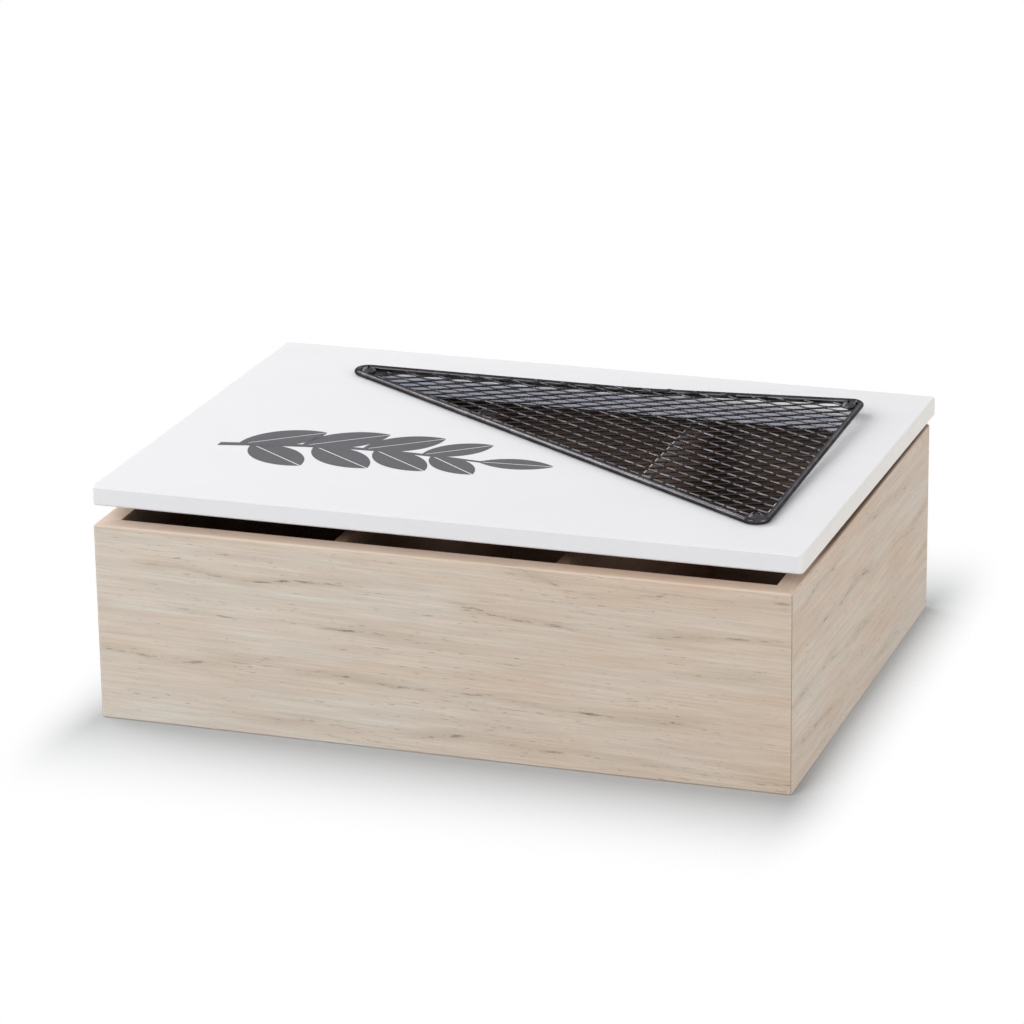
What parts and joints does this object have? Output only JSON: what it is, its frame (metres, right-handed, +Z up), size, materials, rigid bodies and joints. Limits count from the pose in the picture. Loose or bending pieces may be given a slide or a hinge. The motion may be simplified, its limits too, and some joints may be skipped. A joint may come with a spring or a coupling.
{
  "type": "tea box",
  "caption": "Low pale wooden storage box with dividers inside and a white hinged lid, whose triangular window is covered by black expanded metal in a bent wire frame.",
  "frame": {"origin": "middle of the underside of the box's base, on the surface it stands on", "axes": "+Z up, +X to the right along the front board, +Y from the front board to the hinges"},
  "size_m": [0.2444, 0.1882, 0.0843],
  "materials": {
    "wood": "limewashed, matt, open grain",
    "lid_paint": "white paint, satin",
    "black_metal": "black lacquer, satin",
    "hinge": "zinc plated, satin"
  },
  "bodies": {
    "box": {"base_panel": "wood", "front_board": "wood", "right_board": "wood", "back_board": "wood", "left_board": "wood", "divider_left": "wood", "divider_right": "wood", "hinge_left_lower": "hinge", "hinge_right_lower": "hinge"},
    "lid": {"lid_panel": "lid_paint", "wire_frame": "black_metal", "mesh_panel": "black_metal", "hinge_left_upper": "hinge", "hinge_right_upper": "hinge"}
  },
  "joints": [
    {"name": "lid_hinge", "type": "hinge", "parent": "box", "child": "lid", "pos_m": [0, 0.0942, 0.0705], "axis": [-1, 0, 0], "range_deg": [0, 105]}
  ]
}
